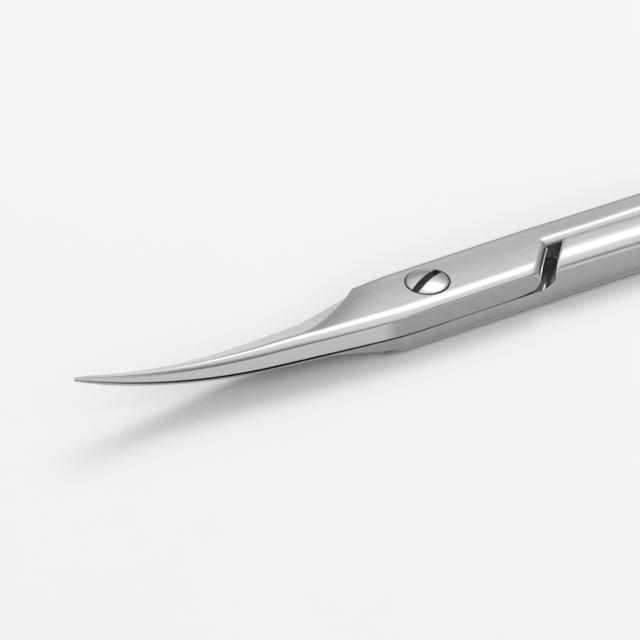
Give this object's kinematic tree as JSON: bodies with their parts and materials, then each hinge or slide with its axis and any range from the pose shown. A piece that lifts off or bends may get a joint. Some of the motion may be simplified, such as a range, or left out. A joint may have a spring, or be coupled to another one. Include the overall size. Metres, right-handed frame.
{
  "type": "cuticle scissors",
  "caption": "Small hand scissors with slender upward-curved blades, slim shanks and oval finger rings, joined by a slotted tension screw.",
  "frame": {"origin": "on the pivot axis, in the flat underside of the lap", "axes": "+X from the blade tips to the finger rings along the closed pair, +Y across it towards the upper half's ring, +Z along the pivot screw to its head"},
  "size_m": [0.0936, 0.0476, 0.0057],
  "materials": {
    "upper_half": "satin ground stainless steel",
    "lower_half": "satin ground stainless steel",
    "pivot_screw": "turned stainless steel, lightly polished"
  },
  "bodies": {
    "lower": {"lower_half": "lower_half"},
    "upper": {"upper_half": "upper_half"},
    "screw": {"pivot_screw": "pivot_screw"}
  },
  "joints": [
    {"name": "pivot", "type": "hinge", "parent": "lower", "child": "upper", "pos_m": [0, 0, 0.0017], "axis": [0, 0, 1], "range_deg": [0, 80]},
    {"name": "tension_screw", "type": "hinge", "parent": "lower", "child": "screw", "pos_m": [0, 0, 0.0017], "axis": [0, 0, 1], "range_deg": [-45, 45]}
  ]
}
